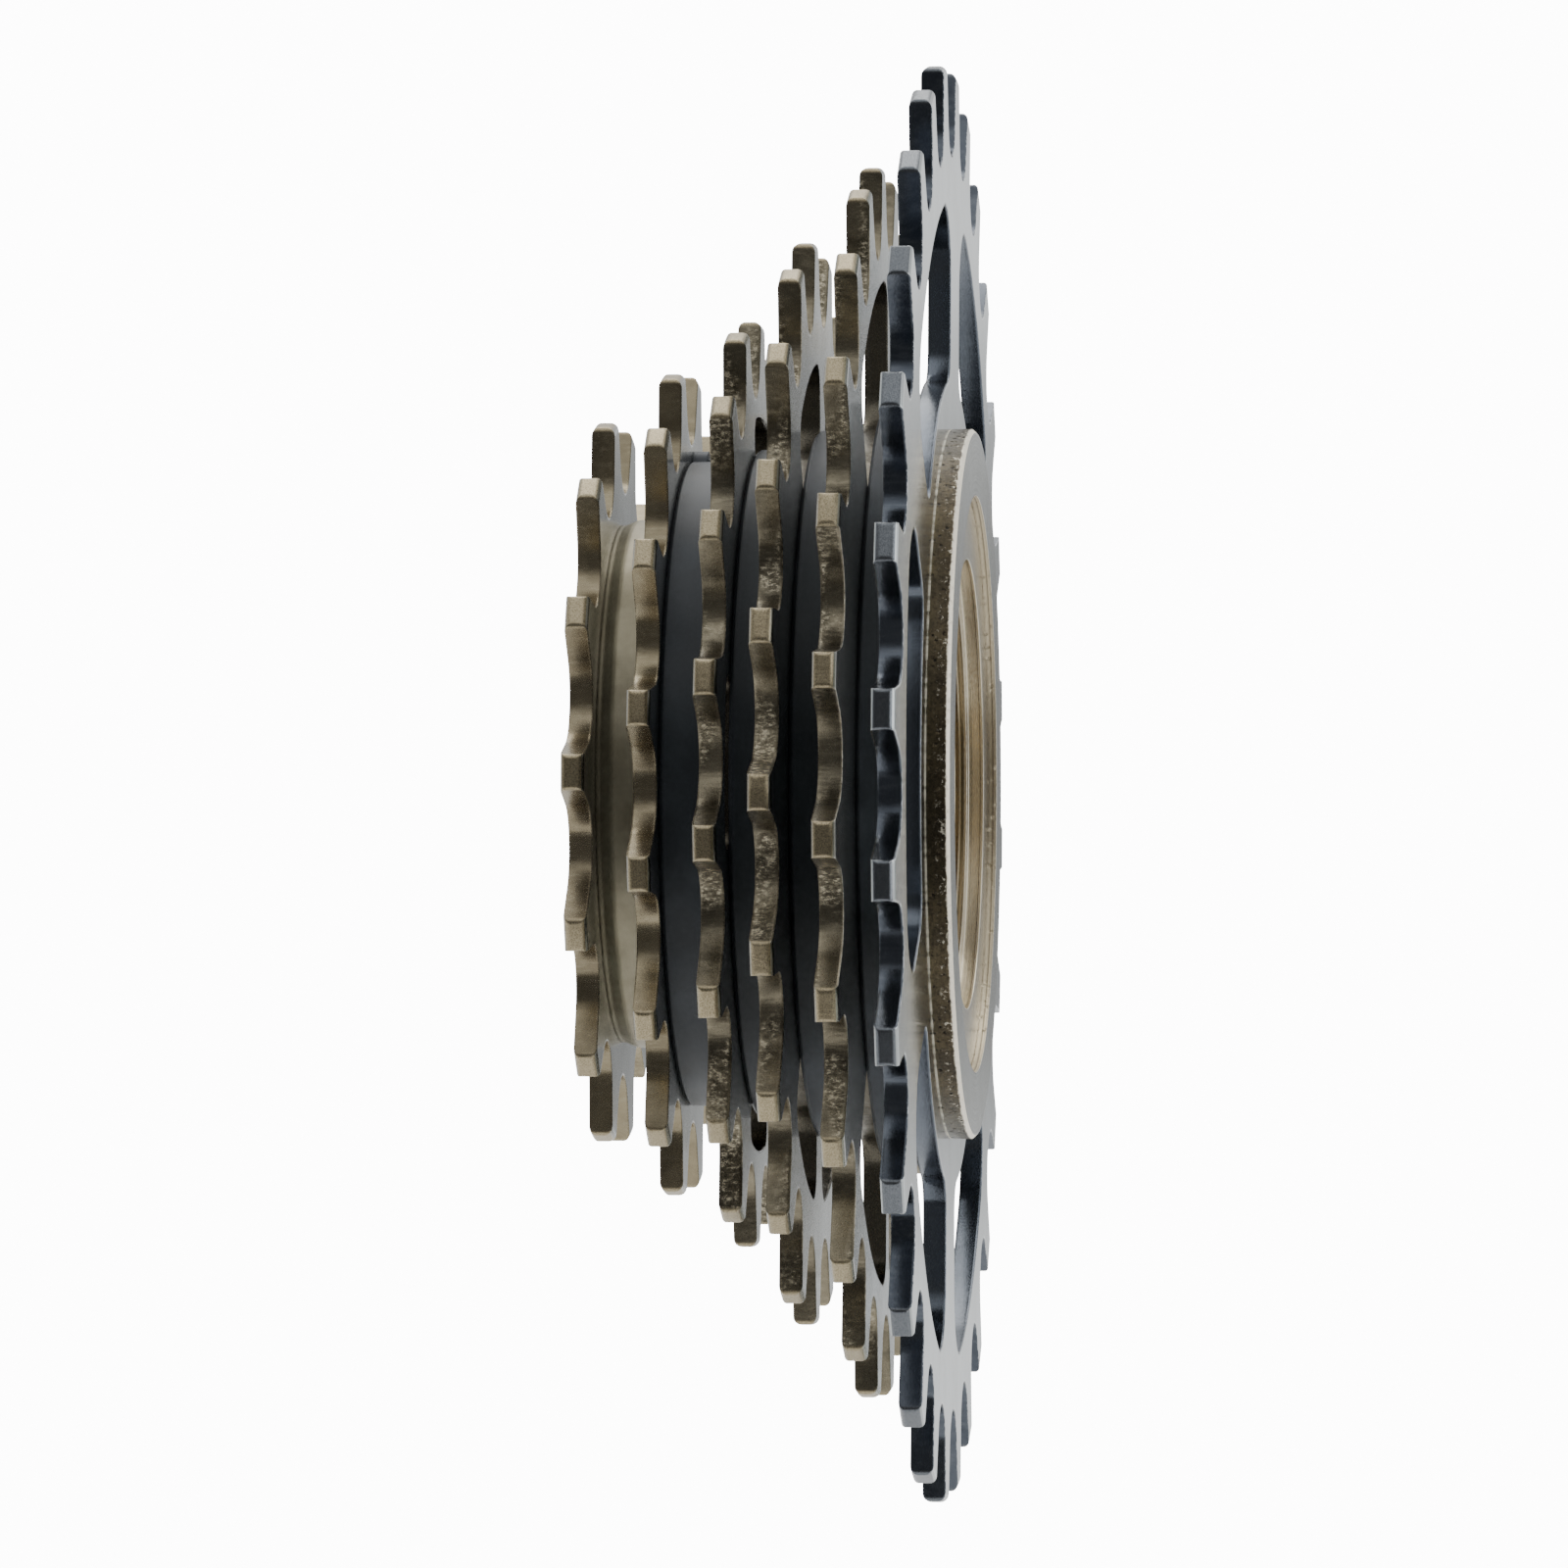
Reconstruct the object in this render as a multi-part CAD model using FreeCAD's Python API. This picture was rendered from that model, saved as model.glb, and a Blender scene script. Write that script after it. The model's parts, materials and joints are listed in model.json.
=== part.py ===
import FreeCAD, Part
import math
import os

# Six-speed thread-on freewheel: a threaded inner body carries two ball rows,
# and an outer body with six sprockets spins on them.  All lengths are in mm.
# +Y is the hub side (largest sprocket), -Y the outer side, +Z is up.  The
# origin is on the axis, in the back face of the inner body, which seats
# against the hub shoulder.

Vec = FreeCAD.Vector

# ---------------------------------------------------------------- sprockets
chain_pitch = 12.7
seat_r = 3.96              # roller seat of a tooth gap
tip_half_w = 1.40          # half width of the flat tooth top
tip_round = 0.30           # small round where flank and tooth top meet
plate_t = 1.95             # plate thickness of every sprocket
tip_half_w_large = 1.60    # the same on the largest sprocket
round_small = 0.62         # rounding of the tooth tops, small-sprocket side
round_hub = 0.70           # rounding of the tooth tops, hub side

teeth_1 = 14
teeth_2 = 16
teeth_3 = 18
teeth_4 = 21
teeth_5 = 24
teeth_6 = 28

crown_1 = 2.20             # tooth top above the pitch circle
crown_2 = 2.40
crown_3 = 2.50
crown_4 = 3.00
crown_5 = 3.25
crown_6 = 3.70

phase_1 = 1.8              # angle of one tooth, from +X toward +Z
phase_2 = 10.3
phase_3 = 12.9
phase_4 = 16.3
phase_5 = 10.1
phase_6 = 5.6

# ------------------------------------------------------- gaps along the axis
gap_24_28 = 3.50
gap_21_24 = 3.75
gap_18_21 = 3.15
gap_16_18 = 3.85
collar_len = 3.85          # collar of the 16-tooth sprocket
collar_r = 22.3
collar_taper = 1.50         # length over which it narrows toward the smallest sprocket
collar_drop = 0.45

spacer_r_16_18 = 27.2
spacer_r_18_21 = 28.2
spacer_r_21_24 = 29.8
spacer_r_24_28 = 32.2
spacer_edge = 0.25         # bevel of the spacer edges

# ---------------------------------------------------------------- outer body
flange_r = 29.9
flange_face = 0.75         # hub face of the flange above the inner body's face
flange_t = 2.00
recess_r = 24.3            # opening of the flange round the inner body
spline_tip_r = 25.6
spline_floor_r = 24.6
spline_count = 8
spline_w = 5.0
spline_play = 0.06         # radial play of sprockets and spacers
spline_side_play = 0.10
small_thread_r = 20.5      # thread for the two smallest sprockets
small_end_inset = 0.50     # outer body behind the smallest sprocket's face
stack_nip = 0.55           # splined part stops short so the stack is clamped

# ---------------------------------------------------------------- inner body
thread_major_r = 17.46     # 1.375 in x 24 threads per inch
thread_minor_r = 16.95
thread_pitch = 25.4 / 24.0
thread_depth = 10.4        # full depth of the hub thread
mouth_r = 18.95            # plain recess round the start of the thread
mouth_depth = 1.30
back_ring_r = 24.1
back_ring_t = 0.90
ring_floor_gap = 0.10      # back ring above the outer body's step
neck_r = 19.2
pawl_zone_r = 18.8
pawl_zone_start = 11.4     # below the back face
pawl_zone_len = 7.3
waist_r = 15.8
axle_bore_r = 12.0
nose_thread_r = 13.0       # thread for the lock cone
nose_shoulder_r = 14.4
socket_depth = 9.0         # splined socket for the remover tool
socket_tip_r = 10.4
socket_floor_r = 11.4
socket_splines = 12
socket_groove_w = 1.2

# ------------------------------------------------------------------ bearings
ball_r = 3.175 / 2.0
race_play = 0.02           # ball to race
hub_ball_count = 36
outer_ball_count = 27
cone_wall = 1.0            # lock cone left under its ball groove
cone_gap = 0.75            # between the lock cone and the outer body's ball cup
shim_thick_t = 0.50
shim_thin_t = 0.20
cone_hole_r = 1.10         # two pin holes of the lock cone
cone_hole_depth = 2.40
seal_t = 1.0
seal_w = 1.45
seal_play = 0.15

# -------------------------------------------------------------- pawl ratchet
ratchet_count = 24
ratchet_tip_r = 19.3
ratchet_root_r = 20.9
ratchet_face_play = 0.06   # between an engaged pawl nose and the ratchet face
ratchet_ramp = 10.6        # degrees of the sloping side
pawl_pivot_r = 17.3
pawl_heel_r = 1.35
pawl_len = 7.0
pawl_nose_r = 20.5         # nose of an engaged pawl
pawl_rest_r = 19.1         # nose of a pawl pressed in by a passing tooth
pawl_nose_h = 1.9
pawl_width = 6.0
pawl_play = 0.05
pocket_end_play = 0.80
pocket_floor_r = 15.5
wire_r = 0.35
wire_centre_r = 18.22
wire_slot_half = 0.45
wire_gap_deg = 26.0
slot_floor_r = 17.55
pawl_angle_a = 90.0
pawl_angle_b = 270.0


# ------------------------------------------------------- positions along Y
hub_face_6 = flange_face - flange_t
hub_face_5 = hub_face_6 - plate_t - gap_24_28
hub_face_4 = hub_face_5 - plate_t - gap_21_24
hub_face_3 = hub_face_4 - plate_t - gap_18_21
hub_face_2 = hub_face_3 - plate_t - gap_16_18
hub_face_1 = hub_face_2 - plate_t - collar_len
outer_face = hub_face_1 - plate_t
shell_end = outer_face + small_end_inset
spline_end = hub_face_2 + stack_nip

step_y = -back_ring_t - ring_floor_gap
hub_ball_R = neck_r + 0.10 + ball_r
hub_ball_y = -back_ring_t - ball_r - 0.21
hub_bore_r = hub_ball_R + ball_r + 0.11
outer_ball_R = nose_thread_r + cone_wall + race_play + ball_r
outer_ball_y = shell_end + 2.46 * ball_r
cup_bore_r = outer_ball_R + ball_r + 0.06
cone_r = cup_bore_r - cone_gap
cone_inner_y = outer_ball_y + 0.75 * ball_r
nose_step_y = cone_inner_y + shim_thin_t + shim_thick_t
nose_shoulder_y = nose_step_y + 2.5
pawl_zone_end = -pawl_zone_start - pawl_zone_len
pawl_mid_y = -pawl_zone_start - pawl_zone_len / 2.0


def ring_point(radius, angle, y):
    a = math.radians(angle)
    return Vec(radius * math.cos(a), y, radius * math.sin(a))


def revolved(points):
    pts = [Vec(p[0], p[1], 0) for p in points]
    pts.append(pts[0])
    face = Part.Face(Part.makePolygon(pts))
    return face.revolve(Vec(0, 0, 0), Vec(0, 1, 0), 360)


def drum(radius, y_low, y_high):
    return Part.makeCylinder(radius, y_high - y_low, Vec(0, y_low, 0), Vec(0, 1, 0))


def turned(shape, angle):
    copy = shape.copy()
    copy.rotate(Vec(0, 0, 0), Vec(0, -1, 0), angle)
    return copy


def torus(ring_radius, section_radius, y):
    return Part.makeTorus(ring_radius, section_radius, Vec(0, y, 0), Vec(0, 1, 0))


def pitch_radius(teeth):
    return chain_pitch / 2.0 / math.sin(math.pi / teeth)


def solid_of(shape):
    shape = shape.removeSplitter()
    if len(shape.Solids) == 1:
        return shape.Solids[0]
    return shape


# ------------------------------------------------------------ sprocket plates
def toothed_blank(teeth, crown, phase, hub_face, half_w=tip_half_w):
    """Toothed disc with roller seats, straight flanks and rounded tops."""
    pitch_r = pitch_radius(teeth)
    tip_r = pitch_r + crown
    small_face = hub_face - plate_t
    half = math.pi / teeth
    centre_x = pitch_r * math.sin(half)
    centre_y = pitch_r * math.cos(half)
    top_x = half_w
    top_y = math.sqrt(tip_r ** 2 - half_w ** 2)
    dx = top_x - centre_x
    dy = top_y - centre_y
    reach = math.hypot(dx, dy)
    lean = math.atan2(dy, dx) + math.acos(seat_r / reach)
    foot_x = centre_x + seat_r * math.cos(lean)
    foot_y = centre_y + seat_r * math.sin(lean)
    seat_x = (pitch_r - seat_r) * math.sin(half)
    seat_y = (pitch_r - seat_r) * math.cos(half)

    # the flank is cut short of the corner, and the corner is an arc
    flank = math.hypot(foot_x - top_x, foot_y - top_y)
    down_x = top_x + (foot_x - top_x) * tip_round / flank
    down_y = top_y + (foot_y - top_y) * tip_round / flank
    in_x = half_w - tip_round
    in_y = math.sqrt(tip_r ** 2 - in_x ** 2)
    mid_x = (down_x + in_x) / 2.0 + (top_x - (down_x + in_x) / 2.0) * 0.45
    mid_y = (down_y + in_y) / 2.0 + (top_y - (down_y + in_y) / 2.0) * 0.45

    def place(x, y, tooth_angle):
        a = math.radians(tooth_angle)
        px = y * math.cos(a) - x * math.sin(a)
        pz = y * math.sin(a) + x * math.cos(a)
        return Vec(px, small_face, pz)

    edges = []
    for k in range(teeth):
        a = phase + 360.0 * k / teeth
        nxt = phase + 360.0 * (k + 1) / teeth
        left_in = place(-in_x, in_y, a)
        crest = place(0, tip_r, a)
        right_in = place(in_x, in_y, a)
        right_mid = place(mid_x, mid_y, a)
        right_down = place(down_x, down_y, a)
        right_foot = place(foot_x, foot_y, a)
        bottom = place(seat_x, seat_y, a)
        next_foot = place(-foot_x, foot_y, nxt)
        next_down = place(-down_x, down_y, nxt)
        next_mid = place(-mid_x, mid_y, nxt)
        next_in = place(-in_x, in_y, nxt)
        edges.append(Part.Arc(left_in, crest, right_in).toShape())
        edges.append(Part.Arc(right_in, right_mid, right_down).toShape())
        edges.append(Part.makeLine(right_down, right_foot))
        edges.append(Part.Arc(right_foot, bottom, next_foot).toShape())
        edges.append(Part.makeLine(next_foot, next_down))
        edges.append(Part.Arc(next_down, next_mid, next_in).toShape())
    wire = Part.Wire(Part.__sortEdges__(edges))
    plate = Part.Face(wire).extrude(Vec(0, plate_t, 0))
    rim_r = tip_r + 0.01
    over = 0.05
    outline = [(0, small_face - over), (rim_r - round_small, small_face - over)]
    for turn in (0, 22.5, 45, 67.5, 90):
        a = math.radians(turn)
        along = rim_r - round_small * (1.0 - math.sin(a))
        outline.append((along, small_face + round_small * (1.0 - math.cos(a))))
    for turn in (90, 67.5, 45, 22.5, 0):
        a = math.radians(turn)
        along = rim_r - round_hub * (1.0 - math.sin(a))
        outline.append((along, hub_face - round_hub * (1.0 - math.cos(a))))
    outline.append((rim_r - round_hub, hub_face + over))
    outline.append((0, hub_face + over))
    envelope = revolved(outline)
    return plate.common(envelope)


def spline_bore(y_low, y_high):
    """Bore cutter that leaves the inward lugs of a splined ring."""
    tool = drum(spline_tip_r + spline_play, y_low - 1, y_high + 1)
    width = spline_w - 2.0 * spline_side_play
    floor = spline_floor_r + spline_play
    lugs = []
    for k in range(spline_count):
        lug = Part.makeBox(6.0, y_high - y_low + 2, width, Vec(floor, y_low - 1, -width / 2.0))
        lugs.append(turned(lug, 360.0 * k / spline_count))
    return tool.cut(lugs)


def rounded_window(corners, radii, y_low, y_high, mids):
    """Window cutter: inner arc, outer arc, two straight sides, round corners."""
    a, b, c, d = [ring_point(p[0], p[1], y_low - 1) for p in corners]
    outer_mid = ring_point(mids[0][0], mids[0][1], y_low - 1)
    inner_mid = ring_point(mids[1][0], mids[1][1], y_low - 1)
    edges = [
        Part.Arc(a, outer_mid, b).toShape(),
        Part.makeLine(b, c),
        Part.Arc(c, inner_mid, d).toShape(),
        Part.makeLine(d, a),
    ]
    face = Part.Face(Part.Wire(edges))
    tool = face.extrude(Vec(0, y_high - y_low + 2, 0))
    middle = (corners[0][0] + corners[2][0]) / 2.0
    outer_edges = []
    inner_edges = []
    for edge in tool.Edges:
        p = edge.Vertexes[0].Point
        q = edge.Vertexes[-1].Point
        if abs(p.x - q.x) + abs(p.z - q.z) > 1e-6:
            continue
        if math.hypot(p.x, p.z) > middle:
            outer_edges.append(edge)
        else:
            inner_edges.append(edge)
    tool = tool.makeFillet(radii[0], outer_edges)
    inner_again = []
    for edge in tool.Edges:
        p = edge.Vertexes[0].Point
        q = edge.Vertexes[-1].Point
        if abs(p.x - q.x) + abs(p.z - q.z) > 1e-6:
            continue
        for old in inner_edges:
            o = old.Vertexes[0].Point
            if math.hypot(p.x - o.x, p.z - o.z) < 1e-4:
                inner_again.append(edge)
    return tool.makeFillet(radii[1], inner_again)


def arm_window(centre, step, arm_w, r_in, r_out, radii, y_low, y_high):
    """Window between two parallel-sided arms."""
    lean_out = math.degrees(math.asin(arm_w / 2.0 / r_out))
    lean_in = math.degrees(math.asin(arm_w / 2.0 / r_in))
    half = step / 2.0
    corners = [
        (r_out, centre - half + lean_out),
        (r_out, centre + half - lean_out),
        (r_in, centre + half - lean_in),
        (r_in, centre - half + lean_in),
    ]
    mids = [(r_out, centre), (r_in, centre)]
    return rounded_window(corners, radii, y_low, y_high, mids)


def slot_window(centre, width, r_in, r_out, radii, y_low, y_high):
    """Window with radial ends."""
    half = width / 2.0
    corners = [
        (r_out, centre - half),
        (r_out, centre + half),
        (r_in, centre + half),
        (r_in, centre - half),
    ]
    mids = [(r_out, centre), (r_in, centre)]
    return rounded_window(corners, radii, y_low, y_high, mids)


window_6_first = 3.8       # centre of one window of the largest sprocket
window_6_count = 6
window_6_in = 34.0
window_6_out = 49.1
window_6_arm = 9.0
window_6_corner_out = 6.0
window_6_corner_in = 3.0

window_5_in = 30.0
window_5_out = 42.4
window_5_width = 39.5
window_5_shift = 1.25
window_5_half_pair = 68.25
window_5_corner = 3.0

window_4_in = 28.0
window_4_out = 35.5
window_4_width = 33.0
window_4_shift = 3.0
window_4_half_pair = 69.0
window_4_corner = 2.6

window_3_in = 27.3
window_3_out = 31.0
window_3_width = 28.0
window_3_first = 3.5
window_3_count = 4
window_3_corner = 1.7


def splined_sprocket(teeth, crown, phase, hub_face, windows, half_w=tip_half_w):
    blank = toothed_blank(teeth, crown, phase, hub_face, half_w)
    blank = blank.cut(spline_bore(hub_face - plate_t, hub_face))
    if windows:
        blank = blank.cut(windows)
    return solid_of(blank)


def paired_angles(half_pair, shift):
    return [
        half_pair + shift,
        180.0 - half_pair + shift,
        180.0 + half_pair + shift,
        -half_pair + shift,
    ]


low_6 = hub_face_6 - plate_t
windows_6 = []
for k in range(window_6_count):
    step = 360.0 / window_6_count
    centre = window_6_first + step * k
    corner = (window_6_corner_out, window_6_corner_in)
    tool = arm_window(centre, step, window_6_arm, window_6_in, window_6_out, corner, low_6, hub_face_6)
    windows_6.append(tool)
sprocket_6 = splined_sprocket(teeth_6, crown_6, phase_6, hub_face_6, windows_6, tip_half_w_large)

low_5 = hub_face_5 - plate_t
windows_5 = []
for centre in paired_angles(window_5_half_pair, window_5_shift):
    corner = (window_5_corner, window_5_corner)
    tool = slot_window(centre, window_5_width, window_5_in, window_5_out, corner, low_5, hub_face_5)
    windows_5.append(tool)
sprocket_5 = splined_sprocket(teeth_5, crown_5, phase_5, hub_face_5, windows_5)

low_4 = hub_face_4 - plate_t
windows_4 = []
for centre in paired_angles(window_4_half_pair, window_4_shift):
    corner = (window_4_corner, window_4_corner)
    tool = slot_window(centre, window_4_width, window_4_in, window_4_out, corner, low_4, hub_face_4)
    windows_4.append(tool)
sprocket_4 = splined_sprocket(teeth_4, crown_4, phase_4, hub_face_4, windows_4)

low_3 = hub_face_3 - plate_t
windows_3 = []
for k in range(window_3_count):
    centre = window_3_first + 360.0 / window_3_count * k
    corner = (window_3_corner, window_3_corner)
    tool = slot_window(centre, window_3_width, window_3_in, window_3_out, corner, low_3, hub_face_3)
    windows_3.append(tool)
sprocket_3 = splined_sprocket(teeth_3, crown_3, phase_3, hub_face_3, windows_3)

# the 16-tooth sprocket screws on and carries a turned collar
low_2 = hub_face_2 - plate_t
blank_2 = toothed_blank(teeth_2, crown_2, phase_2, hub_face_2)
collar = revolved([
    (0, low_2 + 0.5),
    (collar_r, low_2 + 0.5),
    (collar_r, hub_face_1 + collar_taper),
    (collar_r - 0.15 * collar_drop, hub_face_1 + 0.80 * collar_taper),
    (collar_r - 0.90 * collar_drop, hub_face_1 + 0.25 * collar_taper),
    (collar_r - collar_drop, hub_face_1),
    (0, hub_face_1),
])
sprocket_2 = solid_of(blank_2.fuse(collar).cut(drum(small_thread_r, outer_face - 1, 0)))

# the smallest sprocket screws on last
blank_1 = toothed_blank(teeth_1, crown_1, phase_1, hub_face_1)
sprocket_1 = solid_of(blank_1.cut(drum(small_thread_r, outer_face - 1, 0)))


# -------------------------------------------------------------------- spacers
def spacer(outer_r, y_low, y_high):
    ring = revolved([
        (0, y_low),
        (outer_r - spacer_edge, y_low),
        (outer_r, y_low + spacer_edge),
        (outer_r, y_high - spacer_edge),
        (outer_r - spacer_edge, y_high),
        (0, y_high),
    ])
    return ring.cut(spline_bore(y_low, y_high))


spacer_24_28 = solid_of(spacer(spacer_r_24_28, hub_face_5, low_6))
spacer_21_24 = solid_of(spacer(spacer_r_21_24, hub_face_4, low_5))
spacer_18_21 = solid_of(spacer(spacer_r_18_21, hub_face_3, low_4))

lug_r = 1.55               # small round lug on the rim of one spacer
lug_len = 1.3
lug_centre_r = 26.6
hook_r = 0.55              # narrower end of the lug
hook_len = 2.5
hook_centre_r = 27.0
lug_angle = 92.5
plain_16_18 = spacer(spacer_r_16_18, hub_face_2, low_3)
lug = Part.makeCylinder(lug_r, lug_len, ring_point(lug_centre_r, lug_angle, hub_face_2), Vec(0, 1, 0))
hook = Part.makeCylinder(hook_r, hook_len, ring_point(hook_centre_r, lug_angle, hub_face_2), Vec(0, 1, 0))
bore_room = drum(spline_tip_r + 0.4, hub_face_2 - 1, low_3 + 1)
spacer_16_18 = solid_of(plain_16_18.fuse([lug.cut(bore_room), hook]))


# ----------------------------------------------------------------- outer body
edge_bevel = 0.30
shell = revolved([
    (recess_r, flange_face),
    (recess_r, step_y),
    (hub_bore_r, step_y),
    (hub_bore_r, hub_ball_y),
    (neck_r + 0.9, hub_ball_y - 1.45 * ball_r),
    (neck_r + 0.9, -pawl_zone_start - 0.3),
    (ratchet_tip_r, -pawl_zone_start - 0.3),
    (ratchet_tip_r, pawl_zone_end - 0.2),
    (waist_r + 0.4, pawl_zone_end - 0.2),
    (waist_r + 0.4, nose_shoulder_y - 0.3),
    (nose_shoulder_r + 0.5, nose_shoulder_y - 0.3),
    (nose_shoulder_r + 0.5, outer_ball_y + 1.2 * ball_r),
    (cup_bore_r, outer_ball_y),
    (cup_bore_r, shell_end + seal_t),
    (cup_bore_r + seal_w, shell_end + seal_t),
    (cup_bore_r + seal_w, shell_end),
    (small_thread_r - edge_bevel, shell_end),
    (small_thread_r, shell_end + edge_bevel),
    (small_thread_r, spline_end),
    (spline_tip_r, spline_end),
    (spline_tip_r, hub_face_6),
    (flange_r, hub_face_6),
    (flange_r, flange_face - edge_bevel),
    (flange_r - edge_bevel, flange_face),
])
shell = shell.cut(torus(hub_ball_R, ball_r + race_play, hub_ball_y))
shell = shell.cut(torus(outer_ball_R, ball_r + race_play, outer_ball_y))

slots = []
for k in range(spline_count):
    depth = spline_tip_r - spline_floor_r + 2.0
    box = Part.makeBox(depth, hub_face_6 - spline_end + 2, spline_w,
                       Vec(spline_floor_r, spline_end - 2, -spline_w / 2.0))
    slots.append(turned(box, 360.0 * k / spline_count))
shell = shell.cut(slots)

# an engaged pawl's nose face stands square to the line from its pivot, and the
# ratchet faces lie parallel to it
nose_y = math.sqrt(pawl_nose_r ** 2 - pawl_len ** 2)
reach = math.hypot(pawl_len, nose_y - pawl_pivot_r)
lean_in = math.atan2(nose_y - pawl_pivot_r, pawl_len)
lean_rest = math.asin((pawl_rest_r ** 2 - pawl_pivot_r ** 2 - reach ** 2) / (2.0 * pawl_pivot_r * reach))
pawl_swing = math.degrees(lean_in - lean_rest)
face_dx = math.sin(lean_in)
face_dy = -math.cos(lean_in)
face_x = pawl_len + ratchet_face_play * math.cos(lean_in)
face_y = nose_y + ratchet_face_play * math.sin(lean_in)


def on_face(radius):
    """Point of the ratchet face at a radius, as (radius, degrees past the pawl)."""
    b = face_x * face_dx + face_y * face_dy
    c = face_x ** 2 + face_y ** 2 - radius ** 2
    t = -b - math.sqrt(b * b - c)
    px = face_x + t * face_dx
    py = face_y + t * face_dy
    return radius, math.degrees(math.atan2(px, py))


ratchet_low = pawl_zone_end - 0.2
ratchet_high = -pawl_zone_start - 0.3
root_point = on_face(ratchet_root_r)
under_point = on_face(ratchet_tip_r - 0.6)
teeth_gaps = []
for k in range(ratchet_count):
    base = pawl_angle_a + 360.0 * k / ratchet_count
    ramp_angle = base + root_point[1] - ratchet_ramp
    gap = [
        ring_point(ratchet_root_r, base + root_point[1], ratchet_low),
        ring_point(ratchet_tip_r - 0.6, base + under_point[1], ratchet_low),
        ring_point(ratchet_tip_r - 0.6, ramp_angle, ratchet_low),
        ring_point(ratchet_tip_r, ramp_angle, ratchet_low),
    ]
    gap.append(gap[0])
    prism = Part.Face(Part.makePolygon(gap)).extrude(Vec(0, ratchet_high - ratchet_low, 0))
    teeth_gaps.append(prism)
outer_body = solid_of(shell.cut(teeth_gaps))

# ----------------------------------------------------------------- inner body
half_groove = thread_pitch * 0.40
thread_first = -mouth_depth - 0.10
groove_count = int((thread_depth - 0.6 + thread_first) / thread_pitch)
bore = [(mouth_r, 0)]
bore.append((mouth_r, -mouth_depth))
bore.append((thread_minor_r, -mouth_depth))
for k in range(groove_count):
    mid = thread_first - thread_pitch * (k + 0.5)
    bore.append((thread_minor_r, mid + half_groove))
    bore.append((thread_major_r, mid + thread_pitch * 0.06))
    bore.append((thread_major_r, mid - thread_pitch * 0.06))
    bore.append((thread_minor_r, mid - half_groove))
bore.append((thread_minor_r, -thread_depth))
bore.append((axle_bore_r, -thread_depth))
bore.append((axle_bore_r, outer_face + socket_depth))
bore.append((socket_tip_r, outer_face + socket_depth))
bore.append((socket_tip_r, outer_face + 0.4))
bore.append((socket_tip_r + 0.4, outer_face))
outside = [
    (nose_thread_r - 0.3, outer_face),
    (nose_thread_r, outer_face + 0.3),
    (nose_thread_r, nose_step_y),
    (nose_shoulder_r, nose_step_y),
    (nose_shoulder_r, nose_shoulder_y),
    (waist_r, nose_shoulder_y),
    (waist_r, pawl_zone_end),
    (pawl_zone_r, pawl_zone_end),
    (pawl_zone_r, -pawl_zone_start),
    (neck_r, -pawl_zone_start),
    (neck_r, hub_ball_y - 0.6 * ball_r),
    (neck_r + 2.5, -back_ring_t),
    (back_ring_r, -back_ring_t),
    (back_ring_r, 0),
]
body = revolved(bore + outside)
body = body.cut(torus(hub_ball_R, ball_r + race_play, hub_ball_y))

grooves = []
for k in range(socket_splines):
    box = Part.makeBox(socket_floor_r - 9.0, socket_depth + 0.5, socket_groove_w,
                       Vec(9.0, outer_face - 0.5, -socket_groove_w / 2.0))
    grooves.append(turned(box, 360.0 * (k + 0.5) / socket_splines))
body = body.cut(grooves)


def pawl_place(x, y, angle, level):
    a = math.radians(angle)
    px = y * math.cos(a) - x * math.sin(a)
    pz = y * math.sin(a) + x * math.cos(a)
    return Vec(px, level, pz)


def prism_at(points, angle, y_low, y_high):
    pts = [pawl_place(p[0], p[1], angle, y_low) for p in points]
    pts.append(pts[0])
    return Part.Face(Part.makePolygon(pts)).extrude(Vec(0, y_high - y_low, 0))


def pin_at(radius, angle, y_low, y_high):
    centre = pawl_place(0, pawl_pivot_r, angle, y_low)
    return Part.makeCylinder(radius, y_high - y_low, centre, Vec(0, 1, 0))


pocket_half = pawl_width / 2.0 + pawl_play
pocket_low = pawl_mid_y - pocket_half
pocket_high = pawl_mid_y + pocket_half
for angle in (pawl_angle_a, pawl_angle_b):
    pocket = prism_at([
        (-0.2, pocket_floor_r),
        (pawl_len + pocket_end_play, pocket_floor_r),
        (pawl_len + pocket_end_play, pawl_zone_r + 3),
        (-0.2, pawl_zone_r + 3),
    ], angle, pocket_low, pocket_high)
    body = body.cut([pocket, pin_at(pawl_heel_r + pawl_play, angle, pocket_low, pocket_high)])

wire_floor = wire_centre_r - wire_r - 0.01
groove_low = pawl_mid_y - wire_slot_half
groove_high = pawl_mid_y + wire_slot_half
wire_groove = drum(pawl_zone_r + 2, groove_low, groove_high)
wire_groove = wire_groove.cut(drum(wire_floor, groove_low - 1, groove_high + 1))
inner_body = solid_of(body.cut(wire_groove))


# ---------------------------------------------------------------------- pawls
def pawl(angle):
    low = pawl_mid_y - pawl_width / 2.0
    high = pawl_mid_y + pawl_width / 2.0
    foot_x = pawl_len + pawl_nose_h * face_dx
    foot_y = nose_y + pawl_nose_h * face_dy
    arm = prism_at([
        (0, pawl_pivot_r + pawl_heel_r),
        (0, pawl_pivot_r - pawl_heel_r),
        (foot_x, foot_y),
        (pawl_len, nose_y),
    ], angle, low, high)
    blade = arm.fuse(pin_at(pawl_heel_r, angle, low, high))
    slot = drum(pawl_nose_r + 4, groove_low, groove_high)
    slot = slot.cut(drum(slot_floor_r, groove_low - 1, groove_high + 1))
    pressed = solid_of(blade.cut(slot))
    pressed.rotate(pawl_place(0, pawl_pivot_r, angle, 0), Vec(0, -1, 0), pawl_swing)
    return pressed


pawl_a = pawl(pawl_angle_a)
pawl_b = pawl(pawl_angle_b)

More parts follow.
